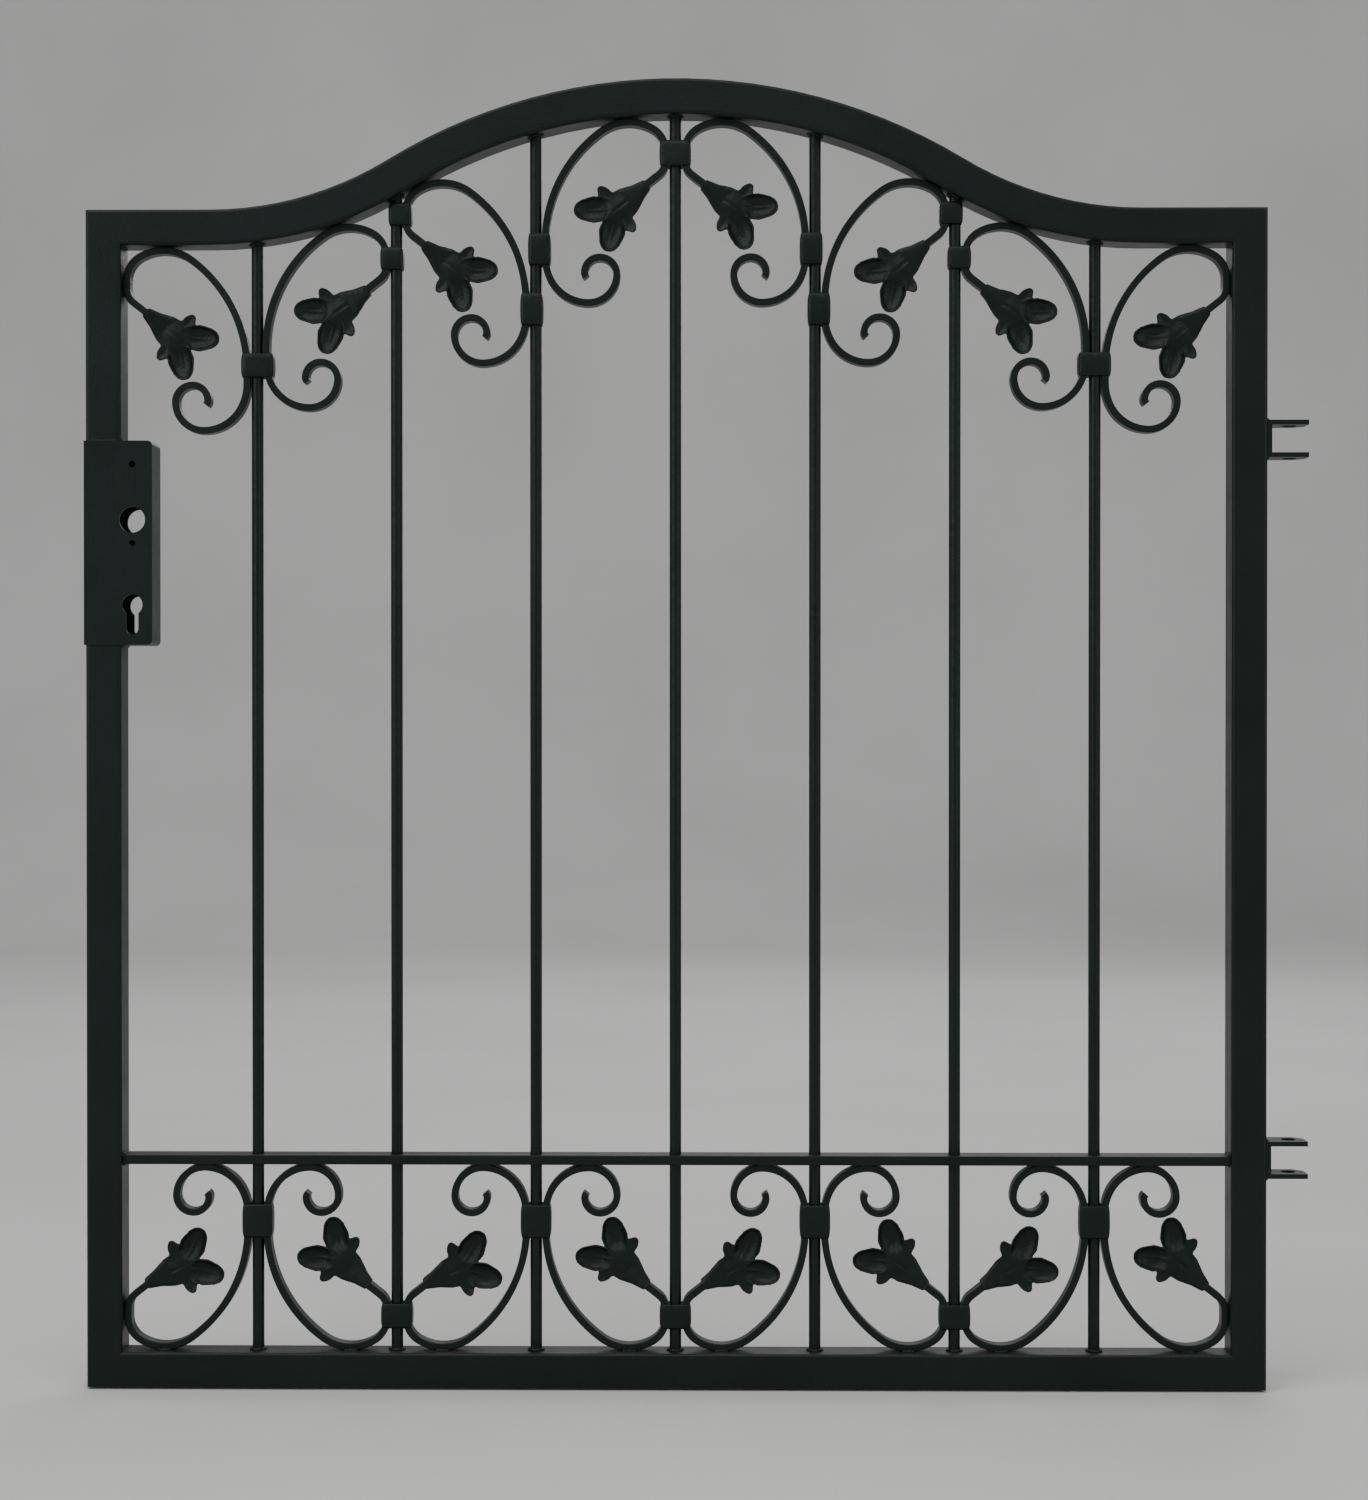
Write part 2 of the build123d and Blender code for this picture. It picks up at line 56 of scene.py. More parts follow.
# ---------------------------------------------------------------- places read from the frame
def low(node):
    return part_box(node)[0]


def high(node):
    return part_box(node)[1]


def middle(node):
    return (low(node) + high(node)) / 2


gate_left = low("bottom_rail").x
gate_right = high("bottom_rail").x
gate_middle = (gate_left + gate_right) / 2
gate_foot = low("bottom_rail").z
sill = high("bottom_rail").z
frame_front = low("bottom_rail").y
frame_back = high("bottom_rail").y


# ---------------------------------------------------------------- shader maths
class Value:
    """A number that varies over a surface, held as the socket that carries it."""

    def __init__(self, finish, socket):
        self.finish = finish
        self.socket = socket

    def maths(self, operation, first, second):
        node = self.finish.node("ShaderNodeMath", {"operation": operation}, {0: first, 1: second})
        return Value(self.finish, node.outputs[0])

    def __add__(self, other):
        return self.maths("ADD", self, other)

    def __radd__(self, other):
        return self.maths("ADD", other, self)

    def __mul__(self, other):
        return self.maths("MULTIPLY", self, other)

    def __rmul__(self, other):
        return self.maths("MULTIPLY", other, self)

    def at_least(self, other):
        return self.maths("MAXIMUM", self, other)


class Finish:
    """A material under construction, with one method that makes any node."""

    def __init__(self, name):
        self.material = bpy.data.materials.new(name)
        self.material.use_nodes = True
        self.tree = self.material.node_tree
        self.shader = self.tree.nodes["Principled BSDF"]
        self.place = self.node("ShaderNodeTexCoord").outputs["Object"]

    def feed(self, socket, value):
        if isinstance(value, Value):
            value = value.socket
        if isinstance(value, bpy.types.NodeSocket):
            self.tree.links.new(value, socket)
        else:
            socket.default_value = value

    def node(self, kind, settings=None, inputs=None):
        node = self.tree.nodes.new(kind)
        for key, setting in (settings or {}).items():
            if key == "stops":
                for stop, (position, shade) in zip(node.color_ramp.elements, setting):
                    stop.position = position
                    stop.color = (shade, shade, shade, 1)
            else:
                setattr(node, key, setting)
        for key, value in (inputs or {}).items():
            self.feed(node.inputs[key], value)
        return node

    def noise(self, scale, detail=2.0, roughness=0.5, place=None):
        inputs = {
            "Vector": place or self.place,
            "Scale": scale,
            "Detail": detail,
            "Roughness": roughness,
        }
        return Value(self, self.node("ShaderNodeTexNoise", None, inputs).outputs["Fac"])

    def stretched(self, x, y, z):
        inputs = {"Vector": self.place, "Scale": (x, y, z)}
        return self.node("ShaderNodeMapping", None, inputs).outputs["Vector"]

    def band(self, value, start, end):
        """0 below start, 1 above end."""
        stops = [(start, 0.0), (end, 1.0)]
        node = self.node("ShaderNodeValToRGB", {"stops": stops}, {"Fac": value})
        return Value(self, node.outputs["Color"])

    def upward(self):
        """1 where the surface faces the sky."""
        normal = self.node("ShaderNodeNewGeometry").outputs["Normal"]
        axes = self.node("ShaderNodeSeparateXYZ", None, {0: normal})
        return Value(self, axes.outputs["Z"]).at_least(0.0)

    def mixed(self, mask, under, over):
        node = self.node("ShaderNodeMix", {"data_type": "RGBA"}, {"Factor": mask})
        self.feed(node.inputs[6], under)
        self.feed(node.inputs[7], over)
        return node.outputs[2]

    def raised(self, height, depth, strength, normal=None):
        inputs = {"Height": height, "Distance": depth, "Strength": strength}
        if normal:
            inputs["Normal"] = normal
        return self.node("ShaderNodeBump", None, inputs).outputs["Normal"]

    def done(self, colour, roughness, normal, **constants):
        self.feed(self.shader.inputs["Base Color"], colour)
        self.feed(self.shader.inputs["Roughness"], roughness)
        self.feed(self.shader.inputs["Normal"], normal)
        for name, value in constants.items():
            self.shader.inputs[name.replace("_", " ")].default_value = value
        return self.material


# ---------------------------------------------------------------- finishes
DEEP_GREEN = (0.0022, 0.0068, 0.0054, 1)
WORN_GREEN = (0.0044, 0.0110, 0.0090, 1)
DUST = (0.105, 0.100, 0.088, 1)
PRIMER = (0.050, 0.050, 0.047, 1)
FLOOR_GREY = (0.60, 0.60, 0.59, 1)
FLOOR_PALE = (0.66, 0.66, 0.65, 1)
SATIN_SHEEN = 0.23
PEEL_DEPTH = 0.00045


def powder_coat(name, ripple_scale, ripple_depth, dust_level, scuff_level):
    """Satin dark green coat: orange peel, faint shade drift, dust on ledges, rare scuffs."""
    coat = Finish(name)
    drift = coat.noise(scale=7.0, detail=3.0, roughness=0.55)
    speck = coat.noise(scale=1400.0, detail=1.0)
    shade = coat.band(drift * 0.75 + speck * 0.25, start=0.34, end=0.68)
    colour = coat.mixed(shade, under=DEEP_GREEN, over=WORN_GREEN)

    upright = coat.stretched(160.0, 160.0, 14.0)
    streaks = coat.noise(scale=1.0, detail=3.0, roughness=0.6, place=upright)
    settled = coat.band(coat.noise(scale=55.0, detail=5.0, roughness=0.65), start=0.42, end=0.72)
    ledge = coat.band(coat.upward(), start=0.45, end=0.95)
    dust = ledge * (0.35 + 0.65 * settled)
    dust = (dust + coat.band(streaks, start=0.62, end=0.85) * 0.05) * dust_level
    colour = coat.mixed(dust, under=colour, over=DUST)

    patches = coat.band(coat.noise(scale=90.0, detail=6.0, roughness=0.7), start=0.735, end=0.755)
    rubs = coat.band(coat.noise(scale=9.0), start=0.55, end=0.70)
    colour = coat.mixed(patches * rubs * scuff_level, under=colour, over=PRIMER)

    peel = coat.noise(scale=620.0, roughness=0.45)
    ripple = coat.noise(scale=ripple_scale, detail=3.0)
    normal = coat.raised(ripple, depth=ripple_depth, strength=0.75)
    normal = coat.raised(peel, depth=PEEL_DEPTH, strength=0.55, normal=normal)
    roughness = 0.26 + 0.18 * ripple + 0.10 * peel + 0.35 * dust
    return coat.done(colour, roughness, normal, Specular_IOR_Level=SATIN_SHEEN)


def floor_paint():
    """Matt pale grey, clouded, with a fine grain."""
    floor = Finish("pale_floor")
    cloud = floor.band(floor.noise(scale=1.3, detail=3.0), start=0.3, end=0.7)
    colour = floor.mixed(cloud, under=FLOOR_GREY, over=FLOOR_PALE)
    grain = floor.noise(scale=260.0, detail=3.0, roughness=0.6)
    normal = floor.raised(grain, depth=0.0004, strength=0.25)
    return floor.done(colour, 0.72 + 0.10 * grain, normal)


# Scale and depth of the ripples, dust on ledges, scuffs
COAT_LOOKS = {
    "frame_coat": (38.0, 0.0006, 0.30, 0.5),
    "wrought_coat": (95.0, 0.0011, 0.26, 0.3),
    "leaf_coat": (140.0, 0.0008, 0.22, 0.3),
    "lock_box_coat": (46.0, 0.0007, 0.28, 0.8),
    "bracket_coat": (70.0, 0.0006, 0.34, 1.0),
    "weld_coat": (420.0, 0.0007, 0.24, 0.2),
}
COATS = {name: powder_coat(name, *look) for name, look in COAT_LOOKS.items()}

for part in frame["record"]["subparts"]:
    cad_object = nodes[part["node"]]
    cad_object.data.materials.clear()
    cad_object.data.materials.append(COATS[part["material_slot"]])


# ---------------------------------------------------------------- mesh helpers
def add_piece(name, mesh, slot, coat=None):
    """Mesh as a visible piece, in the coat of its slot unless another is named."""
    piece = bpy.data.objects.new(name, mesh)
    bpy.context.scene.collection.objects.link(piece)
    if not mesh.materials:
        mesh.materials.append(COATS[coat or slot])
    return piece


def smooth(mesh):
    for polygon in mesh.polygons:
        polygon.use_smooth = True


def ring_loft(shape, rings, closed=False):
    """Skin between rings of points, with a fan over each open end."""
    loops = [[shape.verts.new(point) for point in ring] for ring in rings]
    count = len(loops[0])
    pairs = list(zip(loops, loops[1:]))
    if closed:
        pairs.append((loops[-1], loops[0]))
    for lower, upper in pairs:
        for i in range(count):
            j = (i + 1) % count
            shape.faces.new((lower[i], lower[j], upper[j], upper[i]))
    if not closed:
        for loop in (loops[0][::-1], loops[-1]):
            centre = sum((vert.co for vert in loop), Vector()) / count
            hub = shape.verts.new(centre)
            for i in range(count):
                shape.faces.new((loop[i], loop[(i + 1) % count], hub))


BEAD_SIDES = 10
BEAD_RIPPLE = 0.16
BEAD_UNEVENNESS = 0.08
BEAD_END_SIZE = 0.45


def weld_run(shape, path, radius, rng, closed=False):
    """Bead of weld metal along a path: overlapping ripples, uneven in size."""
    rings = []
    last = len(path) - 1
    for i, point in enumerate(path):
        if closed:
            along = path[(i + 1) % len(path)] - path[i - 1]
        else:
            along = path[min(i + 1, last)] - path[max(i - 1, 0)]
        along = along.normalized()
        side = along.orthogonal().normalized()
        up = along.cross(side)
        uneven = rng.uniform(-BEAD_UNEVENNESS, BEAD_UNEVENNESS)
        size = radius * (1 + BEAD_RIPPLE * math.sin(i * 1.9) + uneven)
        if not closed and i in (0, last):
            size *= BEAD_END_SIZE
        ring = []
        for k in range(BEAD_SIDES):
            turn = 2 * math.pi * k / BEAD_SIDES
            ring.append(point + (side * math.cos(turn) + up * math.sin(turn)) * size)
        rings.append(ring)
    ring_loft(shape, rings, closed)


def finished_mesh(shape, name):
    bmesh.ops.recalc_face_normals(shape, faces=shape.faces)
    mesh = bpy.data.meshes.new(name)
    shape.to_mesh(mesh)
    shape.free()
    smooth(mesh)
    return mesh


def fused(mesh, name, voxel, passes):
    """One continuous skin round overlapping shells, with the creases between them eased."""
    blank = bpy.data.objects.new(name, mesh)
    bpy.context.scene.collection.objects.link(blank)
    skin = blank.modifiers.new("skin", "REMESH")
    skin.mode = "VOXEL"
    skin.voxel_size = voxel
    ease = blank.modifiers.new("ease", "SMOOTH")
    ease.factor = 0.5
    ease.iterations = passes
    seen = blank.evaluated_get(bpy.context.evaluated_depsgraph_get())
    result = bpy.data.meshes.new_from_object(seen)
    result.name = name
    bpy.data.objects.remove(blank)
    smooth(result)
    return result


# ---------------------------------------------------------------- stamped leaf
# Leaf axes: root at the origin, +X along the midrib, +Z out of the hollow side, in millimetres.
LEAF_GRID = 0.75
LEAF_SHEET = 1.7
BLADE_CENTRE = 28.5
LOBE_SPREAD = 37.0
LOBE_REACH = 19.5
LOBE_LENGTH = 17.6
LOBE_WIDTH = 10.2
EAR_SPREAD = 87.0
EAR_REACH = 14.0
EAR_LENGTH = 9.8
EAR_WIDTH = 5.4
ROOT_HALF_WIDTH = 4.4
SHOULDER_HALF_WIDTH = 12.4
HUB_RADIUS = 13.2
SHEATH_START = -3.5
SHEATH_LENGTH = 17.0
SHEATH_HALF_DEPTH = 6.7
SHEET_LENGTH = 72
SHEET_HALF_WIDTH = 34
DOME_HEIGHT = 2.2
GROOVE_DEPTH = 1.0
DISH_DEPTH = 5.0
ROLL_HEIGHT = 1.1
RIB_HEIGHT = 0.75
VEIN_HEIGHT = 0.10
VEIN_SPACING = 4.6
EAR_LIFT = 1.5
EAR_DISH_DEPTH = 0.9


def blend_min(a, b, softness):
    """Smaller of two distances, rounded where they cross."""
    h = max(0.0, min(1.0, 0.5 + 0.5 * (b - a) / softness))
    return b + (a - b) * h - softness * h * (1 - h)


def petal_frame(x, y, spread, reach):
    """Place seen from a petal's middle: along its length, across it."""
    angle = math.radians(spread)
    x -= BLADE_CENTRE
    along = x * math.cos(angle) + y * math.sin(angle) - reach
    across = -x * math.sin(angle) + y * math.cos(angle)
    return along, across


def petal_edge(along, across, length, width, waves):
    """Distance from a petal's outline, with a slightly wavy rim and a broad tip."""
    turn = math.atan2(across / width, along / length)
    rim = 1 + waves * math.cos(5 * turn) + 0.5 * waves * math.cos(2 * turn)
    broad = width * (1 + 0.10 * along / length)
    reach = math.hypot(along / length, across / broad)
    return (reach / rim - 1) * width


def leaf_edge(x, y):
    """Below zero inside the leaf's outline."""
    share = max(0.0, min(1.0, x / SHEATH_LENGTH))
    half_width = ROOT_HALF_WIDTH + (SHOULDER_HALF_WIDTH - ROOT_HALF_WIDTH) * share**0.85
    stem = max(abs(y) - half_width, -x, x - SHEATH_LENGTH - 4)
    edge = blend_min(stem, math.hypot(x - BLADE_CENTRE + 1, y) - HUB_RADIUS, 4.5)
    for sign in (-1, 1):
        lobe = petal_frame(x, y, sign * LOBE_SPREAD, LOBE_REACH)
        edge = blend_min(edge, petal_edge(*lobe, LOBE_LENGTH, LOBE_WIDTH, 0.025), 2.0)
        ear = petal_frame(x, y, sign * EAR_SPREAD, EAR_REACH)
        edge = blend_min(edge, petal_edge(*ear, EAR_LENGTH, EAR_WIDTH, 0.03), 2.5)
    return edge


def leaf_height(x, y):
    """Pressed relief: domed blade, dished lobes with rolled rims, midribs and side veins."""
    height = DOME_HEIGHT * math.exp(-((x - BLADE_CENTRE + 3) ** 2) / 110 - y**2 / 60)
    groove = math.exp(-(y**2) / 1.6) * math.exp(-((x - BLADE_CENTRE + 5) ** 2) / 120)
    height -= GROOVE_DEPTH * groove
    for sign in (-1, 1):
        along, across = petal_frame(x, y, sign * LOBE_SPREAD, LOBE_REACH)
        reach = math.hypot(along / LOBE_LENGTH, across / LOBE_WIDTH)
        if reach < 1.25:
            inside = max(0.0, 1 - reach**2)
            root_fade = 1 / (1 + math.exp(-(along + LOBE_LENGTH * 0.55) / 1.8))
            dish = -DISH_DEPTH * inside * root_fade
            roll = ROLL_HEIGHT * math.exp(-((reach - 1.0) ** 2) / 0.012) * root_fade
            rib = RIB_HEIGHT * math.exp(-((across / 0.95) ** 2))
            rib = rib * max(0.0, 1 - along / LOBE_LENGTH) * root_fade
            slant = abs(across) * 0.9 - along
            vein = VEIN_HEIGHT * math.cos(slant * 2 * math.pi / VEIN_SPACING)
            vein = vein * inside * root_fade
            height += dish + roll + rib + vein
        along, across = petal_frame(x, y, sign * EAR_SPREAD, EAR_REACH)
        if math.hypot(along / EAR_LENGTH, across / EAR_WIDTH) < 1.3:
            lift = max(0.0, along + EAR_LENGTH * 0.4) / EAR_LENGTH
            dish = EAR_DISH_DEPTH * math.exp(-((across / 2.2) ** 2)) * min(1.0, lift)
            height += EAR_LIFT * lift**2 - dish
    return height


def onto_edge(x, y):
    """Nearest place on the leaf's outline."""
    for _ in range(4):
        edge = leaf_edge(x, y)
        step = 0.05
        slope_x = (leaf_edge(x + step, y) - leaf_edge(x - step, y)) / (2 * step)
        slope_y = (leaf_edge(x, y + step) - leaf_edge(x, y - step)) / (2 * step)
        steepness = slope_x**2 + slope_y**2
        if steepness < 1e-6:
            break
        x -= edge * slope_x / steepness
        y -= edge * slope_y / steepness
    return x, y


def leaf_sheet():
    """Thin pressed sheet: a grid trimmed to the outline, then given its thickness."""
    shape = bmesh.new()
    verts = {}
    columns = range(int(SHEET_LENGTH / LEAF_GRID))
    half_rows = int(SHEET_HALF_WIDTH / LEAF_GRID)
    rows = range(-half_rows, half_rows)

    def corner(i, j):
        if (i, j) not in verts:
            verts[i, j] = shape.verts.new((i * LEAF_GRID, j * LEAF_GRID, 0))
        return verts[i, j]

    for i in columns:
        for j in rows:
            if leaf_edge((i + 0.5) * LEAF_GRID, (j + 0.5) * LEAF_GRID) < 0:
                loop = (corner(i, j), corner(i + 1, j), corner(i + 1, j + 1), corner(i, j + 1))
                shape.faces.new(loop)
    for vert in shape.verts:
        if vert.is_boundary:
            vert.co.x, vert.co.y = onto_edge(vert.co.x, vert.co.y)
    for _ in range(2):
        inner = [vert for vert in shape.verts if not vert.is_boundary]
        bmesh.ops.smooth_vert(shape, verts=inner, factor=0.5, use_axis_x=True, use_axis_y=True)
    for vert in shape.verts:
        vert.co.z = leaf_height(vert.co.x, vert.co.y)
    bmesh.ops.recalc_face_normals(shape, faces=shape.faces)
    bmesh.ops.solidify(shape, geom=shape.faces[:], thickness=LEAF_SHEET)
    return shape


def sheath(shape):
    """Folded root of the leaf, wrapped round the end of the scroll's shank."""
    steps = 16
    sides = 24
    rings = []
    for step in range(steps + 1):
        share = step / steps
        x = SHEATH_START + (SHEATH_LENGTH + 2 - SHEATH_START) * share
        flare = 0.7 * math.exp(-share / 0.07)
        half_width = ROOT_HALF_WIDTH + 0.5 * flare + (SHOULDER_HALF_WIDTH - 6.0) * share**0.8
        half_depth = SHEATH_HALF_DEPTH + 0.5 * flare - 6.3 * share**0.8
        ring = []
        for k in range(sides):
            turn = 2 * math.pi * k / sides
            crease = 1 - 0.07 * math.exp(-((math.sin(turn) - 1) ** 2) / 0.02) * share
            across = math.copysign(abs(math.cos(turn)) ** 0.75, math.cos(turn)) * half_width
            depth = math.copysign(abs(math.sin(turn)) ** 0.75, math.sin(turn)) * half_depth
            ring.append(Vector((x, across, depth * crease + 0.4 * share)))
        rings.append(ring)
    ring_loft(shape, rings)


LEAF_VOXEL = 0.00055
LEAF_EASING = 4

leaf_shape = leaf_sheet()
sheath(leaf_shape)
bmesh.ops.scale(leaf_shape, vec=(MM, MM, MM), verts=leaf_shape.verts)
leaf_mesh = fused(finished_mesh(leaf_shape, "leaf_blank"), "leaf", LEAF_VOXEL, LEAF_EASING)

# Slope of the CAD leaves from level, and how much steeper each visible one is, in degrees
LEAF_SLOPE = 38.0
LEAF_BENDS = {
    "top": (2, -3, 1, 1, -2, 3, -1, 2),
    "bottom": (-13, 3, -16, 4, -12, 1, -9, 5),
}
FLAT_END_DEPTH = 0.0002


def root_from_mesh(node, side, rail):
    """Middle of the root's flat end, which is the leaf's nearest end along its own axis."""
    slope = math.radians(LEAF_SLOPE)
    axis = Vector((side * math.cos(slope), 0, -rail * math.sin(slope)))
    points = [vert.co.copy() for vert in nodes[node].data.vertices]
    nearest = min(point.dot(axis) for point in points)
    flat_end = [point for point in points if point.dot(axis) < nearest + FLAT_END_DEPTH]
    flat_low = Vector(min(point[i] for point in flat_end) for i in range(3))
    flat_high = Vector(max(point[i] for point in flat_end) for i in range(3))
    return (flat_low + flat_high) / 2


for row in ("top", "bottom"):
    rail_side = 1 if row == "top" else -1
    for bay in range(1, BAYS + 1):
        node = f"{row}_leaf_{bay}"
        bay_side = 1 if bay % 2 else -1
        slope = math.radians(LEAF_SLOPE + LEAF_BENDS[row][bay - 1])
        axis = Vector((bay_side * math.cos(slope), 0, -rail_side * math.sin(slope)))
        front = Vector((0, -1, 0))
        across = front.cross(axis)
        leaf = add_piece(f"stamped_{node}", leaf_mesh, "leaf_coat")
        turn = Matrix((axis, across, front)).transposed().to_4x4()
        leaf.matrix_world = Matrix.Translation(root_from_mesh(node, bay_side, rail_side)) @ turn
        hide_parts(node)
        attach(leaf, "root")


# ---------------------------------------------------------------- cushion collars
def solids_of(node):
    """Low and high corners of each separate solid in a CAD node."""
    shape = bmesh.new()
    shape.from_mesh(nodes[node].data)
    bmesh.ops.remove_doubles(shape, verts=shape.verts, dist=0.00001)
    waiting = set(shape.verts)
    boxes = []
    while waiting:
        found = {waiting.pop()}
        frontier = list(found)
        while frontier:
            vert = frontier.pop()
            for edge in vert.link_edges:
                other = edge.other_vert(vert)
                if other in waiting:
                    waiting.remove(other)
                    found.add(other)
                    frontier.append(other)
        corners = []
        for pick in (min, max):
            corners.append(Vector([pick(vert.co[axis] for vert in found) for axis in range(3)]))
        boxes.append(corners)
    shape.free()
    return sorted(boxes, key=lambda corners: (corners[0].x, corners[0].z))


COLLAR_SIDES = 48
COLLAR_ROUNDNESS = 0.34
COLLAR_SIDE_SWELL = 0.2
COLLAR_FRONT_SWELL = 0.45


def cushion_ring(centre, half_x, half_y, z):
    """Rounded oblong, nearly flat in front and behind."""
    ring = []
    for k in range(COLLAR_SIDES):
        turn = 2 * math.pi * (k + 0.5) / COLLAR_SIDES
        x = math.copysign(abs(math.cos(turn)) ** COLLAR_ROUNDNESS, math.cos(turn)) * half_x
        y = math.copysign(abs(math.sin(turn)) ** COLLAR_ROUNDNESS, math.sin(turn)) * half_y
        ring.append(Vector((centre.x + x, centre.y + y, z)))
    return ring


def cushion_collar(shape, box_low, box_high, stretch):
    """Band closed hot round the bars: pillowed sides, ends dished in towards the bars."""
    centre = (box_low + box_high) / 2
    half = (box_high - box_low) / 2
    half_height = half.z * stretch
    # Share of the half height, and how far in from the CAD band, in millimetres
    levels = [(-0.90, 2.6), (-0.97, 1.5)]
    for step in range(-8, 9):
        share = step / 8
        levels.append((share, 0.85 * abs(share) ** 5 + 0.25 * share**2))
    levels += [(0.97, 1.5), (0.90, 2.6)]
    rings = []
    for share, inset in levels:
        half_x = half.x - (inset - COLLAR_SIDE_SWELL) * MM
        half_y = half.y - (inset - COLLAR_FRONT_SWELL) * MM
        rings.append(cushion_ring(centre, half_x, half_y, centre.z + share * half_height))
    ring_loft(shape, rings)


# How much taller each visible band is than the CAD band
COLLAR_STRETCH = {
    "bottom_flank_collars": 1.18,
    "bottom_loop_collars": 1.40,
    "crown_collar": 1.45,
    "top_flank_collars": 1.12,
    "top_loop_collars": 1.25,
}

for collar_node, stretch in COLLAR_STRETCH.items():
    collar_shape = bmesh.new()
    for collar_low, collar_high in solids_of(collar_node):
        cushion_collar(collar_shape, collar_low, collar_high, stretch)
    collar_mesh = finished_mesh(collar_shape, f"cushion_{collar_node}")
    collar = add_piece(f"cushion_{collar_node}", collar_mesh, "wrought_coat")
    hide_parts(collar_node)
    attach(collar, "root")


# ---------------------------------------------------------------- welds
BAR_BEAD = 0.0016
BAR_BEAD_RING = 0.0057
BAR_BEAD_POINTS = 26
MID_RAIL_BEAD = 0.0010
MID_RAIL_BEAD_RING = 0.0054
MID_RAIL_BEAD_POINTS = 22
RAIL_END_BEAD = 0.0015
LOCK_BOX_BEAD = 0.0017
LOCK_BOX_SEAM_BEAD = 0.0009
BRACKET_BEAD = 0.0019
TACK_BEAD = 0.0015
TACK_SIDE = 0.0052
TACK_HALF_LENGTH = 0.006
TACK_REACH = 0.0012
BAR_TOP_ZONE = 0.009
BAR_TOP_OFFSET = 0.0035
BAR_TOP_SPAN = 0.0096


def ring_path(centre, radius, count, lift=None):
    """Circle of points round an upright bar, following a slope where lift is given."""
    points = []
    for i in range(count):
        turn = 2 * math.pi * i / count
        x = centre.x + radius * math.cos(turn)
        y = centre.y + radius * math.sin(turn)
        z = lift(x) if lift else centre.z
        points.append(Vector((x, y, z)))
    return points


def straight_path(start, end, spacing):
    count = max(3, int((end - start).length / spacing))
    return [start.lerp(end, i / count) for i in range(count + 1)]


def bar_top_line(bar):
    """Height of a bar's sloping top at a place across it."""
    x_middle = middle(bar).x
    zone = [vert.co for vert in nodes[bar].data.vertices if vert.co.z > high(bar).z - BAR_TOP_ZONE]
    left = max(point.z for point in zone if point.x < x_middle - BAR_TOP_OFFSET)
    right = max(point.z for point in zone if point.x > x_middle + BAR_TOP_OFFSET)
    slope = (right - left) / BAR_TOP_SPAN
    centre = (left + right) / 2
    return lambda x: centre + slope * (x - x_middle)


def bar_welds():
    """Rings round each bar at the sill, under the top rail and under the mid rail."""
    rng = random.Random(11)
    shape = bmesh.new()
    for number in range(1, BARS + 1):
        bar = f"bar_{number}"
        foot = Vector((middle(bar).x, 0, sill + 0.0006))
        foot_ring = ring_path(foot, BAR_BEAD_RING, BAR_BEAD_POINTS)
        weld_run(shape, foot_ring, BAR_BEAD, rng, closed=True)
        top_ring = ring_path(foot, BAR_BEAD_RING, BAR_BEAD_POINTS, bar_top_line(bar))
        weld_run(shape, top_ring, BAR_BEAD, rng, closed=True)
        passing = Vector((middle(bar).x, 0, low("mid_rail").z - 0.0002))
        passing_ring = ring_path(passing, MID_RAIL_BEAD_RING, MID_RAIL_BEAD_POINTS)
        weld_run(shape, passing_ring, MID_RAIL_BEAD, rng, closed=True)
    return finished_mesh(shape, "bar_welds")


def frame_welds():
    """Seams round the lock box and at the ends of the mid rail."""
    rng = random.Random(23)
    shape = bmesh.new()
    inner_left = high("latch_stile_lower").x
    inner_right = low("hinge_stile").x
    rail_low, rail_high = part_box("mid_rail")
    for x in (inner_left, inner_right):
        for z in (rail_low.z, rail_high.z):
            start = Vector((x, rail_low.y + 0.001, z))
            end = Vector((x, rail_high.y - 0.001, z))
            weld_run(shape, straight_path(start, end, 0.0016), RAIL_END_BEAD, rng)
    box_low, box_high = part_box("lock_box_rim")
    for z in (box_low.z, box_high.z):
        start = Vector((inner_left, frame_front + 0.003, z))
        end = Vector((inner_left, frame_back - 0.003, z))
        weld_run(shape, straight_path(start, end, 0.0016), LOCK_BOX_BEAD, rng)
        for y in (frame_front, frame_back):
            start = Vector((gate_left + 0.003, y, z))
            end = Vector((inner_left - 0.002, y, z))
            weld_run(shape, straight_path(start, end, 0.0018), LOCK_BOX_SEAM_BEAD, rng)
    return finished_mesh(shape, "frame_welds")


def bracket_welds():
    """Beads over and under each hinge bracket's back plate."""
    rng = random.Random(37)
    shape = bmesh.new()
    face = high("hinge_stile").x
    for bracket in ("lower_hinge_bracket", "upper_hinge_bracket"):
        plate_low, plate_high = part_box(bracket)
        for z in (plate_low.z, plate_high.z):
            start = Vector((face + 0.0002, plate_low.y + 0.001, z))
            end = Vector((face + 0.0002, plate_high.y - 0.001, z))
            weld_run(shape, straight_path(start, end, 0.0017), BRACKET_BEAD, rng)
    return finished_mesh(shape, "bracket_welds")


def scroll_welds():
    """Short tacks, front and back, where the bottom scrolls meet the sill and the mid rail."""
    rng = random.Random(53)
    shape = bmesh.new()
    for bay in range(1, BAYS + 1):
        points = [vert.co for vert in nodes[f"bottom_scroll_{bay}"].data.vertices]
        heights = [point.z for point in points]
        for limit in (max(heights), min(heights)):
            near = [point.x for point in points if abs(point.z - limit) < TACK_REACH]
            x = (min(near) + max(near)) / 2
            for y in (-TACK_SIDE, TACK_SIDE):
                start = Vector((x - TACK_HALF_LENGTH, y, limit))
                end = Vector((x + TACK_HALF_LENGTH, y, limit))
                weld_run(shape, straight_path(start, end, 0.0015), TACK_BEAD, rng)
    return finished_mesh(shape, "scroll_welds")


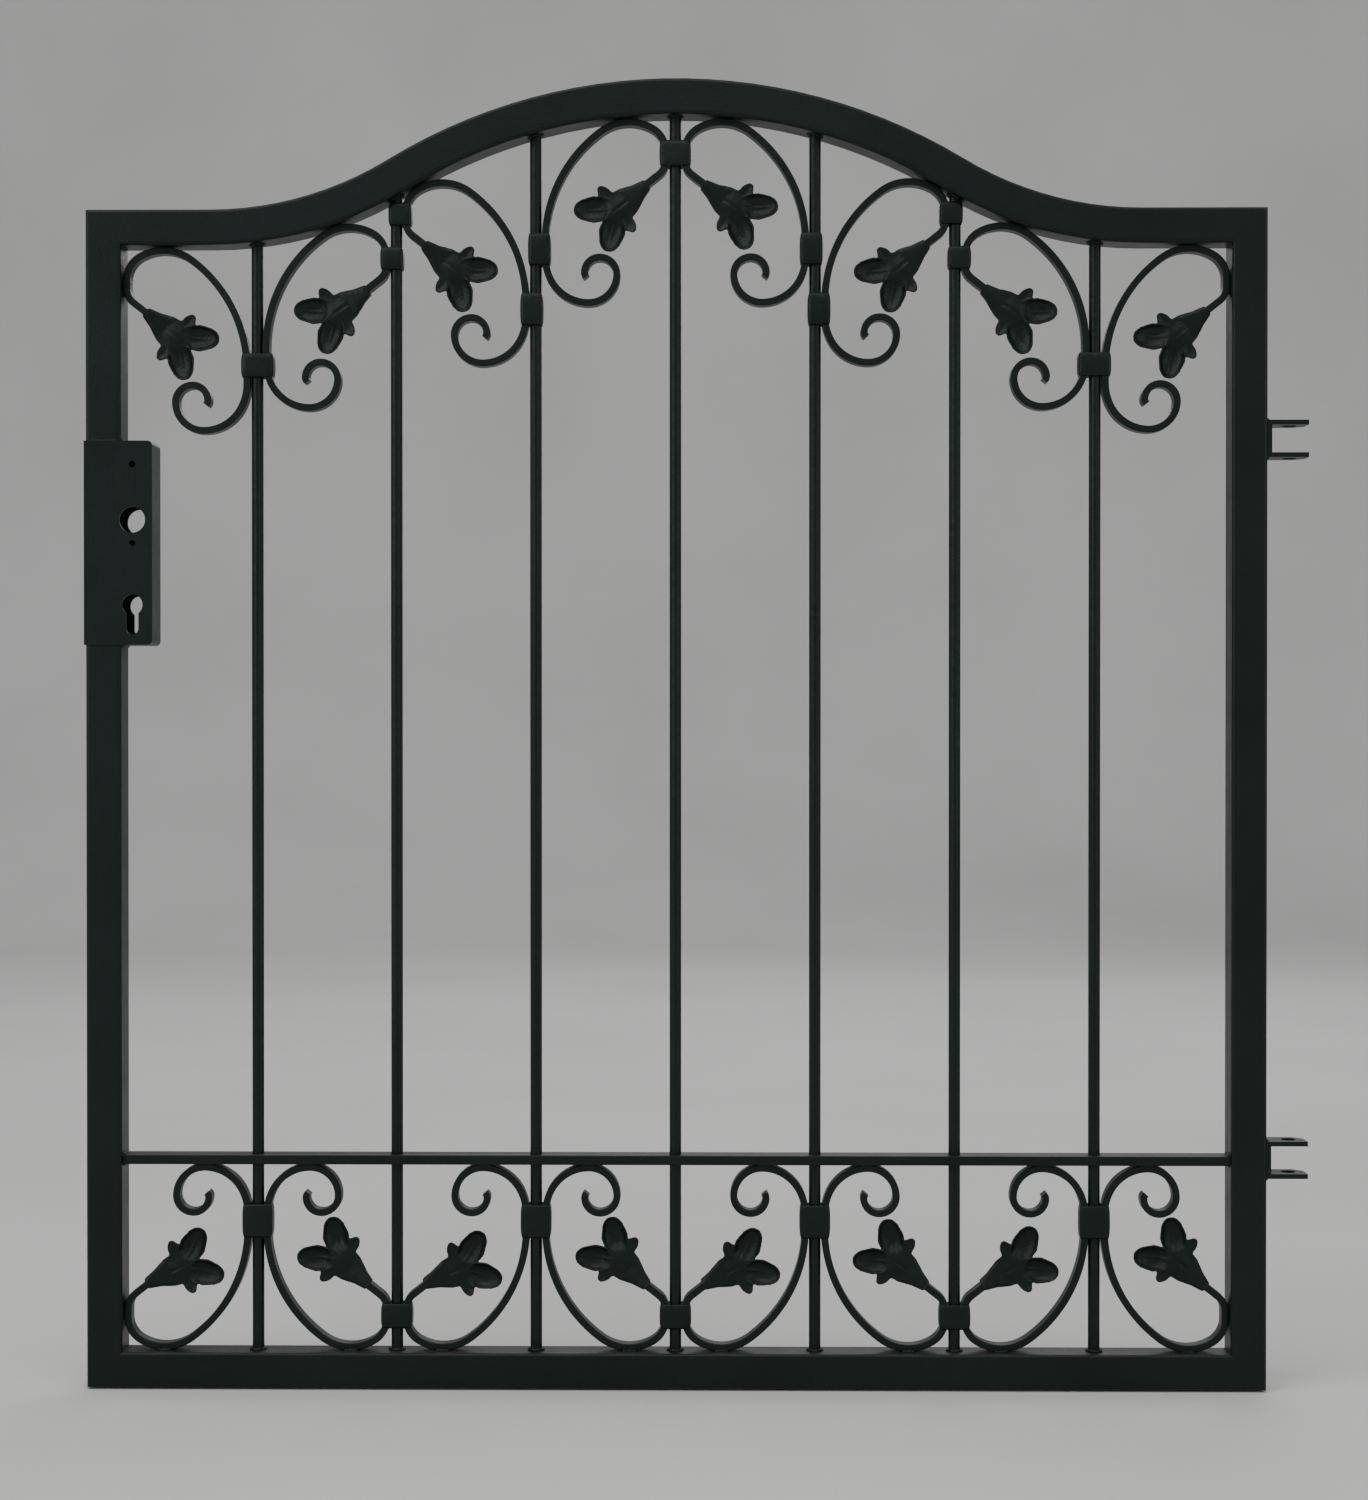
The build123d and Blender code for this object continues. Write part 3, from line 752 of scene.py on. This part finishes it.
for weld_name, weld_mesh, weld_slot in (
    ("bar_welds", bar_welds(), "wrought_coat"),
    ("frame_welds", frame_welds(), "frame_coat"),
    ("bracket_welds", bracket_welds(), "bracket_coat"),
    ("scroll_welds", scroll_welds(), "wrought_coat"),
):
    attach(add_piece(weld_name, weld_mesh, weld_slot, "weld_coat"), "root")


# ---------------------------------------------------------------- floor, light and camera
FLOOR_STATIONS = (-14.0, -6.0, -2.0, 1.0)
FLOOR_STRIPS = (-16.0, -5.0, 5.0, 16.0)
FLOOR_CLEARANCE = 0.0015
SWEEP_START = 4.2
SWEEP_RADIUS = 1.8
SWEEP_STEPS = 24
BACKDROP_HEIGHT = 9.0
AIM_HEIGHT = 0.55
SENSOR_WIDTH = 36.0
LENS = 59.0
CAMERA_PLACE = (0.030, -2.094, 0.555)
CAMERA_PITCH = 0.36
CAMERA_YAW = 0.62
SKY_GREY = (0.62, 0.62, 0.63, 1)
SKY_STRENGTH = 0.82

# Place across from the gate's middle, size, power, tint
LAMPS = {
    "overhead": ((-0.6, -1.6, 3.4), (3.6, 2.4), 62, (1.0, 0.99, 0.97)),
    "left_front": ((-3.2, -2.6, 1.7), (2.2, 2.6), 46, (0.96, 0.98, 1.0)),
    "right_front": ((3.4, -2.2, 1.2), (2.0, 2.4), 22, (1.0, 0.98, 0.96)),
    "behind": ((0.8, 3.2, 2.4), (3.0, 2.0), 36, (1.0, 1.0, 1.0)),
}


def add_floor():
    """Floor that curves up into a backdrop well behind the gate."""
    profile = [(y, 0.0) for y in (*FLOOR_STATIONS, SWEEP_START)]
    for step in range(1, SWEEP_STEPS + 1):
        turn = math.radians(90 * step / SWEEP_STEPS)
        y = SWEEP_START + SWEEP_RADIUS * math.sin(turn)
        profile.append((y, SWEEP_RADIUS * (1 - math.cos(turn))))
    profile.append((SWEEP_START + SWEEP_RADIUS, BACKDROP_HEIGHT))
    shape = bmesh.new()
    rows = [[shape.verts.new((x, y, z)) for y, z in profile] for x in FLOOR_STRIPS]
    for row, following in zip(rows, rows[1:]):
        for i in range(len(profile) - 1):
            shape.faces.new((row[i], following[i], following[i + 1], row[i + 1]))
    floor = bpy.data.objects.new("floor", finished_mesh(shape, "floor"))
    floor.location = (gate_middle, 0, gate_foot - FLOOR_CLEARANCE)
    floor.data.materials.append(floor_paint())
    bpy.context.scene.collection.objects.link(floor)


def add_soft_light(name, place, size, power, tint):
    light = bpy.data.lights.new(name, "AREA")
    light.shape = "RECTANGLE"
    light.size, light.size_y = size
    light.energy = power
    light.color = tint
    lamp = bpy.data.objects.new(name, light)
    lamp.location = place
    aim = Vector((gate_middle, 0, gate_foot + AIM_HEIGHT)) - Vector(place)
    lamp.rotation_euler = aim.to_track_quat("-Z", "Y").to_euler()
    lamp.visible_camera = False
    bpy.context.scene.collection.objects.link(lamp)


def add_camera():
    """Square to the gate, a little over two metres off, at mid height."""
    camera_data = bpy.data.cameras.new("camera")
    camera_data.sensor_width = SENSOR_WIDTH
    camera_data.lens = LENS
    camera = bpy.data.objects.new("camera", camera_data)
    across, out, height = CAMERA_PLACE
    camera.location = (gate_middle + across, out, gate_foot + height)
    camera.rotation_euler = (math.radians(90 - CAMERA_PITCH), 0, math.radians(CAMERA_YAW))
    bpy.context.scene.collection.objects.link(camera)
    bpy.context.scene.camera = camera


add_floor()
for lamp_name, ((across, out, height), lamp_size, power, tint) in LAMPS.items():
    add_soft_light(lamp_name, (gate_middle + across, out, height), lamp_size, power, tint)
add_camera()

world = bpy.data.worlds.new("studio")
world.use_nodes = True
world.node_tree.nodes["Background"].inputs["Color"].default_value = SKY_GREY
world.node_tree.nodes["Background"].inputs["Strength"].default_value = SKY_STRENGTH
bpy.context.scene.world = world
